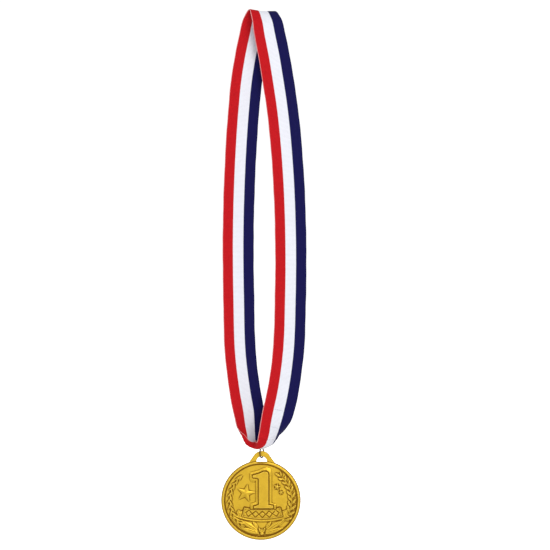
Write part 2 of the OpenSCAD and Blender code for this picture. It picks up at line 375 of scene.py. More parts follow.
def branch(x, y, side, count, first, last, length, width, splay, height, lobes):
    """Two rows of leaves that splay from a stem along an arc, growing up from the tie."""
    relief = np.zeros(x.shape)
    r = np.hypot(x, y)
    rise_angle = np.degrees(np.arctan2(side * x, -y))
    stem = (rise_angle > first - 12) & (rise_angle < last)
    relief = np.maximum(relief, 0.45 * height * bell(r - BRANCH_R, 0.3) * stem)
    pitch = (last - first) / (count - 1)
    for k in range(count):
        for row in (1, -1):
            place = math.radians(first + pitch * (k + row / 4))
            foot = (BRANCH_R + 0.45 * row) * np.array([side * math.sin(place), -math.cos(place)])
            ahead = math.atan2(side * math.sin(place), math.cos(place))
            turn = ahead - side * row * math.radians(splay)
            taper = 1 - 0.25 * k / (count - 1)
            relief = np.maximum(relief, leaf(x, y, foot, turn, length * taper, width * taper, height, lobes))
    # A single leaf ends the branch
    place = math.radians(last + 0.4 * pitch)
    foot = BRANCH_R * np.array([side * math.sin(place), -math.cos(place)])
    ahead = math.atan2(side * math.sin(place), math.cos(place)) + side * math.radians(8)
    return np.maximum(relief, leaf(x, y, foot, ahead, length, 0.8 * width, height, lobes))


def broad_leaves(x, y, height):
    """Three broad leaves to each side of the tie, under the banner."""
    relief = np.zeros(x.shape)
    for side in (-1, 1):
        for k, (sx, sy, lift, length, width) in enumerate([
                (1.8, -21.2, 17, 12.6, 4.2), (2.2, -20.0, 33, 13.6, 4.4), (2.6, -18.2, 56, 6.0, 3.0)]):
            turn = math.radians(lift if side > 0 else 180 - lift)
            foot = (TIE_X + side * sx, sy)
            relief = np.maximum(relief, leaf(x, y, foot, turn, length, width, height * (1 - 0.08 * k)))
    return relief


def tie(x, y, height):
    """The knot that holds the branches, with two upright petals."""
    relief = rise(np.hypot((x - TIE_X) / 1.1, (y + 21.4) / 0.8) * 0.95 - 0.95, height, 0.5)
    for side in (-1, 1):
        petal = leaf(x, y, (TIE_X + 0.3 * side, -20.9), math.radians(90 - 27 * side), 4.0, 2.0, 1.1 * height)
        relief = np.maximum(relief, petal)
    return np.maximum(relief, leaf(x, y, (TIE_X, -20.8), math.radians(90), 3.1, 1.2, height))


def reeds(x, y, height):
    """Fine reeding inside the rim at the lower left."""
    r, angle = np.hypot(x, y), np.degrees(np.arctan2(-y, -x))
    ends = smoothstep((angle - 26) / 2) * smoothstep((60 - angle) / 2)
    inside = rise(np.abs(r - REED_R) - 0.8, 1, 0.3) * ends
    return inside * height * (0.62 + 0.38 * np.cos(math.tau * angle / REED_PITCH))


def face_height(x, y, relief, raised):
    """Height of the face above the field at each point."""
    r = np.hypot(x, y)
    # The cast field is never quite flat
    height = 0.006 * np.sin(3.1 * x + 1.7 * y) * np.sin(2.3 * y - 1.1 * x)
    pieces = [
        branch(x, y, -1, 10, 44, 140, 5.4, 1.9, 29, relief, 0.0),
        branch(x, y, 1, 9, 48, 136, 4.7, 2.7, 31, relief, 0.16),
        broad_leaves(x, y, 0.9 * relief),
        reeds(x, y, 0.5 * relief),
        star(x, y, (-9.7, 4.6), 6.3, math.radians(78), 1.25 * relief),
        star(x, y, (10.3, 8.6), 2.7, math.radians(78), 1.5 * relief),
        star(x, y, (12.9, 5.0), 2.0, math.radians(102), 1.4 * relief),
    ]
    for piece in pieces:
        height = np.maximum(height, piece)
    over = banner(x, y, relief)
    height = np.where(over > 0.05, over, np.maximum(height, 0) + np.minimum(over, 0))
    height = np.maximum(height, tie(x, y, relief))
    height = np.where(polygon_distance(x, y, NUMERAL_OUTLINE) < 0.25, numeral(x, y, raised), height)
    height = height - 0.12 * bell(r - 22.95, 0.2)
    rim = RIM_H * smoothstep((r - RIM_IN + 0.12) / (RIM_START - RIM_IN + 0.12))
    # The rim falls away a little towards the edge of the disc
    rim = rim - 0.24 * np.clip((r - 24.0) / 1.4, 0, 1) ** 2
    return np.maximum(height, rim)


def cavity_map(relief, raised, spread=0.55, step=0.1):
    """Height minus its own blur on a fine raster: below zero in recesses, above zero on raised edges."""
    side = np.arange(-26, 26, step)
    x, y = np.meshgrid(side, side)
    raster = face_height(x, y, relief, raised)
    waves = np.fft.fftfreq(len(side), step)
    kernel = np.exp(-2 * (math.pi * spread * waves) ** 2)
    blurred = np.fft.ifft2(np.fft.fft2(raster) * kernel[:, None] * kernel[None, :]).real
    return side, raster - blurred


def sampled(side, raster, x, y):
    """Bilinear value of a raster at each point."""
    step = side[1] - side[0]
    u, v = (x - side[0]) / step, (y - side[0]) / step
    i, j = np.clip(u.astype(int), 0, len(side) - 2), np.clip(v.astype(int), 0, len(side) - 2)
    u, v = u - i, v - j
    low = raster[j, i] * (1 - u) + raster[j, i + 1] * u
    high = raster[j + 1, i] * (1 - u) + raster[j + 1, i + 1] * u
    return low * (1 - v) + high * v


def disc_reach(angle):
    """Distance from the centre to the disc's edge, which the bail's hole cuts into at the top."""
    chord = HOLE_Y / np.maximum(np.sin(angle), 0.1)
    cut = (np.abs(chord * np.cos(angle) - HOLE_X) < HOLE_R) & (np.sin(angle) > 0)
    return np.where(cut, np.minimum(chord, MEDAL_R), MEDAL_R)


def disc_points(settings):
    """The disc: a face of concentric rings of quads, the rounded edge and the recessed back."""
    k = settings.rings
    a, b = np.meshgrid(np.arange(-k, k + 1), np.arange(-k, k + 1))
    ring = np.maximum(np.abs(a), np.abs(b))
    # Each square shell of the grid becomes a circle
    with np.errstate(divide="ignore", invalid="ignore"):
        angle = np.where(
            np.abs(a) >= np.abs(b),
            np.where(a >= 0, 0, math.pi) + math.pi / 4 * np.where(a != 0, b / a, 0),
            np.where(b >= 0, 1, -1) * math.pi / 2 - math.pi / 4 * np.where(b != 0, a / b, 0))
    last_r = disc_reach(angle) - EDGE_R
    t = ring / k
    # Rings are evenly spaced up to the rim, whose outer part follows the edge
    inner_r = t * (MEDAL_R - EDGE_R)
    blend_in = np.clip((inner_r - RIM_START) / (MEDAL_R - EDGE_R - RIM_START), 0, 1)
    r = inner_r + blend_in * (last_r - (MEDAL_R - EDGE_R))
    x, y = r * np.cos(angle), r * np.sin(angle)
    relief, raised = settings.relief_height / MM, settings.numeral_height / MM
    z = FIELD_LEVEL + face_height(inner_r * np.cos(angle), inner_r * np.sin(angle), relief, raised)
    side, cavity = cavity_map(relief, raised)
    cavity = sampled(side, cavity, x, y)
    n = 2 * k + 1
    # The outermost shell, in order round the disc
    shell = ([(k, j) for j in range(-k, k)] + [(-i, k) for i in range(-k, k)]
             + [(-k, -j) for j in range(-k, k)] + [(i, -k) for i in range(-k, k)])
    border = [(row + k) * n + column + k for column, row in shell]
    points = [np.stack([x, y, z], -1).reshape(-1, 3)]
    cavities = [cavity.reshape(-1)]
    index = np.arange(n * n).reshape(n, n)
    corners = [index[:-1, :-1], index[:-1, 1:], index[1:, 1:], index[1:, :-1]]
    faces = np.stack(corners, -1).reshape(-1, 4).tolist()
    border_angle = angle.reshape(-1)[border]
    reach = disc_reach(border_angle)
    top = z.reshape(-1)[border]
    loops = [(reach - aside, top - down) for aside, down in rounding(EDGE_R, range(1, 6), 5)]
    loops += [(reach, level) for level in (0.45, -0.1, -0.65)]
    loops += [(reach - aside, down - HALF_T) for down, aside in rounding(EDGE_R, range(6), 5)]
    # The back: its rim, the slope behind it and the recess
    for r_back, level in ((24.4, -HALF_T), (BACK_RIM_IN + 0.25, -HALF_T), (BACK_RIM_IN, -HALF_T + 0.04),
                          (BACK_RIM_IN - 0.15, -HALF_T + 0.16), (BACK_RIM_IN - 0.35, -BACK_LEVEL - 0.05),
                          (BACK_RIM_IN - 0.55, -BACK_LEVEL), (BACK_RIM_IN - 1.2, -BACK_LEVEL)):
        loops.append((np.minimum(reach - EDGE_R, r_back), level))
    previous = border
    count = len(border)
    for i, (radius, level) in enumerate(loops):
        level = np.broadcast_to(level, radius.shape)
        points.append(np.stack([radius * np.cos(border_angle), radius * np.sin(border_angle), level], -1))
        cavities.append(np.full(count, -0.05))
        current = list(range(n * n + i * count, n * n + (i + 1) * count))
        faces += [(previous[j], current[j], current[(j + 1) % count], previous[(j + 1) % count])
                  for j in range(count)]
        previous = current
    faces.append(tuple(reversed(previous)))
    return np.concatenate(points), faces, np.concatenate(cavities)


def offset_loop(loop, distance):
    """A closed loop of points moved to its left by a distance."""
    tangent = unit(np.roll(loop, -1, 0) - np.roll(loop, 1, 0))
    return loop + distance * np.stack([-tangent[:, 1], tangent[:, 0]], -1)


def spaced(path, count):
    """Count points spaced evenly along a path, without its last one."""
    path = np.asarray(path, float)
    run = np.concatenate([[0], np.cumsum(np.linalg.norm(np.diff(path, axis=0), axis=1))])
    at = np.linspace(0, run[-1], count + 1)[:-1]
    return np.stack([np.interp(at, run, path[:, c]) for c in range(2)], -1)


def arc(centre, radius, start, stop, count=90):
    angle = np.linspace(start, stop, count)
    return np.stack([centre[0] + radius * np.cos(angle), centre[1] + radius * np.sin(angle)], -1)


def bail_points():
    """The bail: a flat eye with rounded edges, whose foot is sunk in the rim."""
    over, under = 132, 60    # points over the top and along the bottom of both loops
    tip = np.array([BAIL_R * math.cos(FLANK), BAIL_Y + BAIL_R * math.sin(FLANK)])
    foot = tip + FLANK_L * np.array([math.sin(FLANK), -math.cos(FLANK)])
    mirror = np.array([-1, 1])
    aside = np.array([HOLE_X, 0])
    right, left = foot + aside, foot * mirror + aside
    # Both loops run anticlockwise, from the right foot over the top to the left foot and back below
    crown = arc((HOLE_X, BAIL_Y), BAIL_R, FLANK, math.pi - FLANK)
    sole = arc((0, 0), BAIL_FOOT_R, math.atan2(left[1], left[0]), math.atan2(right[1], right[0]))
    outer = np.concatenate([spaced(np.concatenate([[right], crown, [left]]), over), spaced(sole, under)])
    base = HOLE_Y - 0.12
    hole_right, hole_left = (HOLE_X + HOLE_R, base), (HOLE_X - HOLE_R, base)
    vault = arc((HOLE_X, HOLE_Y), HOLE_R, 0, math.pi)
    hole = np.concatenate([spaced(np.concatenate([[hole_right], vault, [hole_left]]), over),
                           spaced([hole_left, hole_right], under)])
    edge, hole_edge = 0.42, 0.3

    def row(loop, inset, level):
        return np.column_stack([offset_loop(loop, inset), np.full(len(loop), level)])

    rows = [row(outer, aside, BAIL_HALF_T - down) for aside, down in rounding(edge, range(7), 6)]
    rows += [row(outer, aside, down - BAIL_HALF_T) for down, aside in rounding(edge, range(7), 6)]
    hole_rows = [row(hole, -aside, down - BAIL_HALF_T) for aside, down in rounding(hole_edge, range(7), 6)]
    hole_rows += [row(hole, -aside, BAIL_HALF_T - down) for down, aside in rounding(hole_edge, range(7), 6)]

    def across(a, b):
        return [a * (1 - t) + b * t for t in (0.02, 0.2, 0.4, 0.6, 0.8, 0.98)]

    rows = rows + across(rows[-1], hole_rows[0]) + hole_rows + across(hole_rows[-1], rows[0])
    points = np.concatenate(rows)
    return points, grid_faces(len(rows), len(outer), wrap_rows=True), np.zeros(len(points))


def build_medal(settings):
    points, faces, cavity = disc_points(settings)
    more, more_faces, more_cavity = bail_points()
    shift = len(points)
    faces = faces + [tuple(v + shift for v in reversed(face)) for face in more_faces]
    points, cavity = np.concatenate([points, more]), np.concatenate([cavity, more_cavity])
    # Stand the casting up: its face looks to the front
    standing = np.stack([points[:, 0], -points[:, 2], points[:, 1]], -1) + MEDAL_CENTRE
    obj = mesh_object("medal_casting", standing, faces)
    # Mask of the painted shade in the recesses, where the face lies below its own blur
    float_attribute(obj.data, "recess", np.clip(-cavity / 0.11, 0, 1))
    # Mask of the painted highlight on the raised edges, where the face stands above its own blur
    float_attribute(obj.data, "crest_highlight", np.clip(cavity / 0.2, 0, 1))
    return obj


# ---- jump ring ----
def ring_measures(settings):
    """Half the wire's diameter, the radius of the wire's centre line and the axis across the ring."""
    wire = settings.wire / MM / 2
    return wire, cad_size("jump_ring", 2) / 2 - wire, Vector(JOINTS["ring_turn"]["axis"]).normalized()


def build_ring(settings):
    """A round wire bent into a ring, with the two cut ends almost meeting low at the back."""
    wire, centre_r, axis = ring_measures(settings)
    side = np.array(Vector((0, 0, 1)).cross(axis))
    up = np.array([0, 0, 1])
    normal = np.array(axis)
    sections, around = 140, 24
    half_gap = settings.gap / MM / 2 / centre_r
    start = math.radians(-35) + half_gap
    sweep = math.tau - 2 * half_gap
    chamfer = 0.07
    places = [(0, wire - chamfer), (chamfer / centre_r, wire)]
    places += [(sweep * k / sections, wire) for k in range(1, sections)]
    places += [(sweep - chamfer / centre_r, wire), (sweep, wire - chamfer)]
    points = []
    for place, radius in places:
        angle = start + place
        out = side * math.cos(angle) + up * math.sin(angle)
        for j in range(around):
            turn = math.tau * j / around
            aside = normal * radius * math.sin(turn)
            points.append(RING_CENTRE + out * (centre_r + radius * math.cos(turn)) - aside)
    return mesh_object("jump_ring_wire", points, capped_faces(len(places), around))


# ---- ribbon ----
def ribbon_stations():
    """x, y, z, turn and curl of each station round the closed loop."""
    legs = []
    for side in (0, 1):
        facing = 2 * side - 1
        leg = [[s[side], facing * s[2], -LOOP_H + s[3], s[4], s[5]] for s in BOTTOM_ROUTE]
        for k, s in enumerate(ARCH_ROUTE):
            height = -LOOP_H + ARCH_LOW + k * (LOOP_H - ARCH_LOW - ARCH_HIGH) / (len(ARCH_ROUTE) - 1)
            leg.append([s[side], facing * s[2], height, 0, 0])
        leg += [[s[side], facing * s[2], RIBBON_T / 2 - s[3], s[4], s[5]] for s in TOP_ROUTE]
        legs.append(leg)
    return np.array([BOTTOM_CENTRE] + legs[0] + [TOP_CENTRE] + legs[1][::-1], float)


def route_curve(stations, steps):
    """A smooth closed curve through the stations."""
    curve = []
    count = len(stations)
    for i in range(count):
        a, b, c, d = (stations[(i + k) % count] for k in (-1, 0, 1, 2))
        ab, bc, cd = (np.linalg.norm(q[:3] - p[:3]) for p, q in ((a, b), (b, c), (c, d)))
        at_b = ((b - a) / ab * bc + (c - b) / bc * ab) / (ab + bc)
        at_c = ((c - b) / bc * cd + (d - c) / cd * bc) / (bc + cd)
        for k in range(steps):
            t = k / steps
            curve.append((2 * t ** 3 - 3 * t ** 2 + 1) * b + (t ** 3 - 2 * t ** 2 + t) * bc * at_b
                         + (3 * t ** 2 - 2 * t ** 3) * c + (t ** 3 - t ** 2) * bc * at_c)
    return np.array(curve)


class RibbonSurface:
    """The ribbon's surface: a place along it, a place across it and a height to its inner side."""

    def __init__(self):
        self.curve = route_curve(ribbon_stations(), 48)
        centre = self.curve[:, :3]
        self.tangent = unit(np.roll(centre, -1, 0) - np.roll(centre, 1, 0))
        turn = np.radians(self.curve[:, 3])
        level = np.stack([np.cos(turn), np.sin(turn), 0 * turn], 1)
        level -= (level * self.tangent).sum(1)[:, None] * self.tangent
        self.across = unit(level)
        self.inner = np.cross(self.tangent, self.across)
        step = np.linalg.norm(np.roll(centre, -1, 0) - centre, axis=1)
        self.run = np.concatenate([[0], np.cumsum(step)])
        self.length = self.run[-1]

    def at(self, table, place):
        """A table's value at places along the closed route."""
        place = np.asarray(place, float) % self.length
        closed = np.concatenate([table, table[:1]])
        return np.stack([np.interp(place, self.run, closed[:, c]) for c in range(closed.shape[1])], -1)

    def place_at(self, height):
        """The place on the front leg where the route is at a height."""
        leg = self.curve[:len(self.curve) // 2, 2]
        return float(np.interp(height, leg, self.run[:len(leg)]))

    def point(self, places, s, h):
        """Points of the surface, one row for each place along it; s and h hold a row for each place."""
        curve, across, inner = (self.at(t, places)[:, None, :] for t in (self.curve, self.across, self.inner))
        before = (self.length - np.asarray(places, float)) % self.length
        before = np.where(before > self.length / 2, before - self.length, before)
        distance, *columns = (np.array(column, float) for column in zip(*EDGE_FOLD))
        fold, crease, straight = (np.interp(before, distance, column)[:, None] for column in columns)
        after, tuck = (np.array(column, float) for column in zip(*EDGE_TUCK))
        tuck = np.interp(-before, after, tuck)[:, None]
        # The section is integrated outwards from the middle of the ribbon
        fine = np.linspace(-12, 12, 241)
        bend = curve[..., 4] * fine - np.radians(fold) * smoothstep((-fine - crease) / CREASE_W + 0.5)
        bend += np.radians(straight) * smoothstep((-fine - 3.2) / 2 + 0.5)
        bend += np.radians(tuck) * smoothstep((fine - 4.5) / 4 + 0.5)
        step = fine[1] - fine[0]
        sideways = np.cumsum(np.cos(bend), 1) * step
        inwards = np.cumsum(np.sin(bend), 1) * step
        points = np.zeros((*s.shape, 3))
        for i in range(len(places)):
            side, into, angle = (np.interp(s[i], fine, table[i]) for table in (sideways, inwards, bend))
            side = side - np.interp(0, fine, sideways[i]) - h[i] * np.sin(angle)
            into = into - np.interp(0, fine, inwards[i]) + h[i] * np.cos(angle)
            points[i] = curve[i, :, :3] + across[i] * side[:, None] + inner[i] * into[:, None]
        return points


SEAM_LOW_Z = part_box("seam_stitches")[0][2] / MM + 0.2
SEAM_HIGH_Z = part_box("seam_stitches")[1][2] / MM - 0.2
LAP_START_Z = -273.6
LAP_LIFT = 0.5
CLOTH_HALF_T = 0.21
HOLE_PLAY = 0.16    # from the wire to the edge of its hole in the cloth
# Where the back leg comes to the bottom fold its red edge is folded over to the front: mm before the lowest
# point, degrees that the edge is turned over, distance of the crease from the middle, degrees that the red
# stripe is straightened beside the crease
EDGE_FOLD = [
    (-8, 0, 8.0, 0),
    (-3, 50, 5.0, 0),
    (2, 115, 4.6, 10),
    (6, 150, 5.4, 28),
    (10, 155, 6.8, 36),
    (14, 135, 7.9, 36),
    (19, 70, 9.0, 24),
    (25, 0, 9.6, 0),
]
# The navy edge tucks in above the fold on the front leg: mm after the lowest point, degrees
EDGE_TUCK = [(0, 0), (5, 3), (11, 7), (18, 7), (28, 0)]
CREASE_W = 1.6


def lap_lift(surface, place, lap):
    """How far the first end stands out over the last one, beyond the lap's start."""
    start = surface.place_at(LAP_START_Z)
    return LAP_LIFT * (1 - smoothstep((place - start - lap) / 12)) * (place < start + lap + 12)


def ripple(place):
    """Slow waves that the cloth keeps from being folded in a packet."""
    return 0.16 * np.sin(place / 27 + 0.5) * np.sin(place / 11.5)


def build_ribbon(settings):
    """One strip of ribbon that goes round the loop and laps over its own start on the front leg."""
    surface = RibbonSurface()
    width, lap = settings.width / MM, settings.lap / MM
    start = surface.place_at(LAP_START_Z)
    total = surface.length + lap
    fine = 1.15
    places = start + np.linspace(0, total, int(total / fine) + 1)
    half_w, half_t = width / 2, CLOTH_HALF_T
    flat = np.linspace(-half_w + 0.5, half_w - 0.5, 25)
    # Section from the left selvage along the inner side to the right selvage and back outside
    bead = 0.26
    inset = np.array([0.28, 0.08])
    s = np.concatenate([[-half_w], (inset - half_w)[::-1], flat, half_w - inset, [half_w],
                        (half_w - inset)[::-1], flat[::-1], inset - half_w])
    climb = np.array([0.7 * bead, bead])
    h = np.concatenate([[0], climb, np.full(25, half_t), climb[::-1], [0], -climb, np.full(25, -half_t),
                        -climb[::-1]])
    place, across = np.meshgrid(places, s, indexing="ij")
    height = np.broadcast_to(h, place.shape)
    local = place - surface.length * (place >= start + surface.length)
    lift = np.where(place < start + surface.length / 2, lap_lift(surface, local, lap), 0)
    # Woven edges are never quite straight
    wander = 0.05 * np.sin(place / 5.3) + 0.04 * np.sin(place / 2.1 + 1.3)
    across_used = across + wander * (np.abs(across) / half_w) ** 4 * np.sign(across)
    waves = ripple(place) * np.cos(across / half_w * 1.2)
    points = surface.point(places % surface.length, across_used, height - lift + waves)
    obj = mesh_object("ribbon_cloth", points.reshape(-1, 3), capped_faces(*place.shape))
    layer = obj.data.uv_layers.new(name="weave")
    vertex = np.zeros(len(obj.data.loops), int)
    obj.data.loops.foreach_get("vertex_index", vertex)
    u = (across.reshape(-1) / width + 0.5)[vertex]
    v = ((place - start).reshape(-1) * MM)[vertex]
    layer.data.foreach_set("uv", np.stack([u, v], -1).reshape(-1).astype(np.float32))
    punch_ring_holes(obj)
    return obj, total


def punch_ring_holes(obj):
    """Cuts the two small holes where the jump ring's wire goes through the lowest part of the ribbon."""
    wire, centre_r, axis = ring_measures(bpy.context.scene.award_ring)
    bpy.ops.mesh.primitive_torus_add(
        major_radius=centre_r * MM, minor_radius=(wire + HOLE_PLAY) * MM, major_segments=96,
        minor_segments=20, location=Vector(RING_CENTRE * MM))
    cutter = bpy.context.object
    cutter.rotation_mode = "QUATERNION"
    cutter.rotation_quaternion = Vector((0, 0, 1)).rotation_difference(axis)
    holes = obj.modifiers.new("ring_holes", "BOOLEAN")
    holes.operation = "DIFFERENCE"
    holes.solver = "EXACT"
    holes.object = cutter
    bpy.context.view_layer.update()
    cut = bpy.data.meshes.new_from_object(obj.evaluated_get(bpy.context.evaluated_depsgraph_get()))
    obj.modifiers.clear()
    whole = obj.data
    obj.data = cut
    bpy.data.objects.remove(cutter)
    bpy.data.meshes.remove(whole)
    cut.name = obj.name


# ---- seam ----
def build_seam(settings, ribbon):
    """Two rows of small thread arches across the middle stripe, through both layers of the lap."""
    surface = RibbonSurface()
    thread = settings.thread / MM / 2
    stitch = settings.stitch / MM
    stripe = ribbon.width / MM / 3
    count = int((stripe - 0.6) / stitch)
    lap = ribbon.lap / MM
    points, faces = [], []
    sections, around = 12, 10
    for height in (SEAM_LOW_Z, SEAM_HIGH_Z):
        place = surface.place_at(height)
        lift = float(lap_lift(surface, place, lap))
        for k in range(count):
            middle = (k - (count - 1) / 2) * stitch
            t = np.linspace(-1, 1, sections + 1)
            s = middle + t * stitch * 0.40
            # Each stitch dives into the cloth at both ends
            h = ripple(place) - CLOTH_HALF_T - thread * 0.75 - lift + 0.5 * np.abs(t) ** 6
            line = surface.point([place], s[None], h[None])[0]
            tangent = unit(np.gradient(line, axis=0))
            first = unit(np.cross(tangent, surface.at(surface.tangent, place)))
            second = np.cross(tangent, first)
            begin = len(points)
            for i in range(sections + 1):
                radius = thread * (0.72 if i in (0, sections) else 1)
                for j in range(around):
                    turn = math.tau * j / around
                    points.append(line[i] + radius * (first[i] * math.cos(turn) + second[i] * math.sin(turn)))
            faces += capped_faces(sections + 1, around, start=begin)
    return mesh_object("seam_thread", points, faces)


# ---- materials ----
def new_group(name, inputs, outputs):
    """An empty shader node group with float and colour sockets."""
    kinds = {"f": "NodeSocketFloat", "c": "NodeSocketColor"}
    group = bpy.data.node_groups.new(name, "ShaderNodeTree")
    for socket, kind, default in inputs:
        made = group.interface.new_socket(name=socket, in_out="INPUT", socket_type=kinds[kind])
        made.default_value = default
    for socket, kind in outputs:
        group.interface.new_socket(name=socket, in_out="OUTPUT", socket_type=kinds[kind])
    return group, group.nodes.new("NodeGroupInput"), group.nodes.new("NodeGroupOutput")


def math_node(tree, operation, a, b=None):
    node = tree.nodes.new("ShaderNodeMath")
    node.operation = operation
    for socket, value in zip(node.inputs, (a, b)):
        if value is None:
            continue
        if isinstance(value, (int, float)):
            socket.default_value = value
        else:
            tree.links.new(value, socket)
    return node.outputs[0]


def mix_colour(tree, factor, a, b):
    node = tree.nodes.new("ShaderNodeMix")
    node.data_type = "RGBA"
    for socket, value in ((node.inputs["Factor"], factor), (node.inputs[6], a), (node.inputs[7], b)):
        if isinstance(value, (int, float)):
            socket.default_value = value
        elif isinstance(value, tuple):
            socket.default_value = (*value[:3], 1)
        else:
            tree.links.new(value, socket)
    return node.outputs[2]


def map_range(tree, value, low, high, to_low=0.0, to_high=1.0, soft=True):
    node = tree.nodes.new("ShaderNodeMapRange")
    node.interpolation_type = "SMOOTHSTEP" if soft else "LINEAR"
    tree.links.new(value, node.inputs["Value"])
    for name, number in (("From Min", low), ("From Max", high), ("To Min", to_low), ("To Max", to_high)):
        node.inputs[name].default_value = number
    return node.outputs["Result"]


def noise(tree, scale):
    """Noise over the object's own coordinates."""
    node = tree.nodes.new("ShaderNodeTexNoise")
    node.inputs["Scale"].default_value = scale
    node.inputs["Detail"].default_value = 2
    tree.links.new(tree.nodes.new("ShaderNodeTexCoord").outputs["Object"], node.inputs["Vector"])
    return node.outputs["Fac"]


def plated_metal_group():
    """Colour, roughness and fine height of plating, with painted shade darkening the recesses and a painted
    highlight brightening the raised edges.
    """
    tree, start, end = new_group(
        "plated_metal",
        [("Base", "c", (0.8, 0.5, 0.1, 1)), ("Recess Shade And Mottle", "c", (0.3, 0.13, 0.02, 1)),
         ("Crest Highlight", "c", (1, 0.7, 0.2, 1)), ("Cloud", "f", 0.1), ("Roughness", "f", 0.35)],
        [("Color", "c"), ("Roughness", "f"), ("Height", "f")])
    recess = tree.nodes.new("ShaderNodeAttribute")
    recess.attribute_name = "recess"
    crest_highlight = tree.nodes.new("ShaderNodeAttribute")
    crest_highlight.attribute_name = "crest_highlight"
    cloud = noise(tree, 260)
    grain = noise(tree, 5200)
    hollow = map_range(tree, recess.outputs["Fac"], 0.08, 0.85)
    highlight_mask = map_range(tree, crest_highlight.outputs["Fac"], 0.15, 0.9)
    # Painted shade: the recesses are mixed towards the dark colour
    colour = mix_colour(tree, math_node(tree, "MULTIPLY", hollow, 0.9), start.outputs["Base"],
                        start.outputs["Recess Shade And Mottle"])
    # Painted highlight: the raised edges are mixed towards the bright colour
    colour = mix_colour(tree, math_node(tree, "MULTIPLY", highlight_mask, 0.3), colour, start.outputs["Crest Highlight"])
    # The same dark colour also tints random cloudy patches of the plating
    shade = math_node(tree, "MULTIPLY", map_range(tree, cloud, 0.35, 0.7), start.outputs["Cloud"])
    colour = mix_colour(tree, shade, colour, start.outputs["Recess Shade And Mottle"])
    rough = math_node(tree, "ADD", start.outputs["Roughness"], math_node(tree, "MULTIPLY", hollow, 0.18))
    rough = math_node(tree, "ADD", rough, math_node(tree, "MULTIPLY", cloud, 0.06))
    for value, name in ((colour, "Color"), (rough, "Roughness"), (grain, "Height")):
        tree.links.new(value, end.inputs[name])
    return tree


def woven_group():
    """Height and shade of a ribbed weave from distances across and along the cloth, in metres."""
    tree, start, end = new_group(
        "ribbed_weave",
        [("Across", "f", 0.0), ("Along", "f", 0.0), ("Rib Pitch", "f", 0.0008), ("Yarn Pitch", "f", 0.00035)],
        [("Height", "f"), ("Shade", "f")])

    def wave(value, pitch):
        turns = math_node(tree, "DIVIDE", value, pitch)
        return math_node(tree, "COSINE", math_node(tree, "MULTIPLY", turns, math.tau))

    rib = wave(start.outputs["Along"], start.outputs["Rib Pitch"])
    yarn = wave(start.outputs["Across"], start.outputs["Yarn Pitch"])
    height = math_node(tree, "ADD", rib, math_node(tree, "MULTIPLY", yarn, 0.25))
    speckle = noise(tree, 2400)
    shade = math_node(tree, "ADD", math_node(tree, "MULTIPLY", rib, 0.5), speckle)
    tree.links.new(height, end.inputs["Height"])
    tree.links.new(map_range(tree, shade, -0.2, 1.2), end.inputs["Shade"])
    return tree


def shared_group(name, make):
    return bpy.data.node_groups.get(name) or make()


def new_material(name):
    material = bpy.data.materials.new(name)
    material.use_nodes = True
    tree = material.node_tree
    return material, tree, tree.nodes["Principled BSDF"]


def place_group(tree, group, values):
    node = tree.nodes.new("ShaderNodeGroup")
    node.node_tree = group
    for name, value in values.items():
        node.inputs[name].default_value = (*value, 1) if hasattr(value, "__len__") else value
    return node


def bump(tree, shader, height, distance):
    node = tree.nodes.new("ShaderNodeBump")
    node.inputs["Distance"].default_value = distance
    node.inputs["Strength"].default_value = 1.0
    tree.links.new(height, node.inputs["Height"])
    tree.links.new(node.outputs["Normal"], shader.inputs["Normal"])


def metal_material(name, base, recess, crest_highlight, cloud, roughness, grain):
    material, tree, shader = new_material(name)
    group = place_group(tree, shared_group("plated_metal", plated_metal_group), {
        "Base": base, "Recess Shade And Mottle": recess, "Crest Highlight": crest_highlight, "Cloud": cloud, "Roughness": roughness})
    tree.links.new(group.outputs["Color"], shader.inputs["Base Color"])
    tree.links.new(group.outputs["Roughness"], shader.inputs["Roughness"])
    shader.inputs["Metallic"].default_value = 1.0
    bump(tree, shader, group.outputs["Height"], grain)
    return material


def ribbon_material(settings):
    """Three woven stripes with a paler selvage beside the first one."""
    material, tree, shader = new_material("striped_ribbon")
    coordinates = tree.nodes.new("ShaderNodeUVMap")
    coordinates.uv_map = "weave"
    split = tree.nodes.new("ShaderNodeSeparateXYZ")
    tree.links.new(coordinates.outputs["UV"], split.inputs[0])
    across = math_node(tree, "MULTIPLY", split.outputs["X"], settings.width)
    weave = place_group(tree, shared_group("ribbed_weave", woven_group), {"Rib Pitch": settings.rib_pitch})
    tree.links.new(across, weave.inputs["Across"])
    tree.links.new(split.outputs["Y"], weave.inputs["Along"])
    soft = 0.12 * MM
    first, second = settings.width / 3, settings.width * 2 / 3
    to_white = map_range(tree, across, first - soft, first + soft)
    to_navy = map_range(tree, across, second - soft, second + soft)
    colour = mix_colour(tree, to_white, tuple(settings.red), tuple(settings.white))
    colour = mix_colour(tree, to_navy, colour, tuple(settings.navy))
    edge = map_range(tree, across, 0.25 * MM, 0.45 * MM, 0.75, 0.0)
    colour = mix_colour(tree, edge, colour, tuple(settings.selvage))
    darker = mix_colour(tree, 0.20, colour, (0.004, 0.004, 0.010))
    colour = mix_colour(tree, weave.outputs["Shade"], darker, colour)
    tree.links.new(colour, shader.inputs["Base Color"])
    shader.inputs["Roughness"].default_value = 0.62
    shader.inputs["Sheen Weight"].default_value = 0.02
    shader.inputs["Sheen Roughness"].default_value = 0.4
    shader.inputs["Specular IOR Level"].default_value = 0.08
    bump(tree, shader, weave.outputs["Height"], 0.00005)
    return material


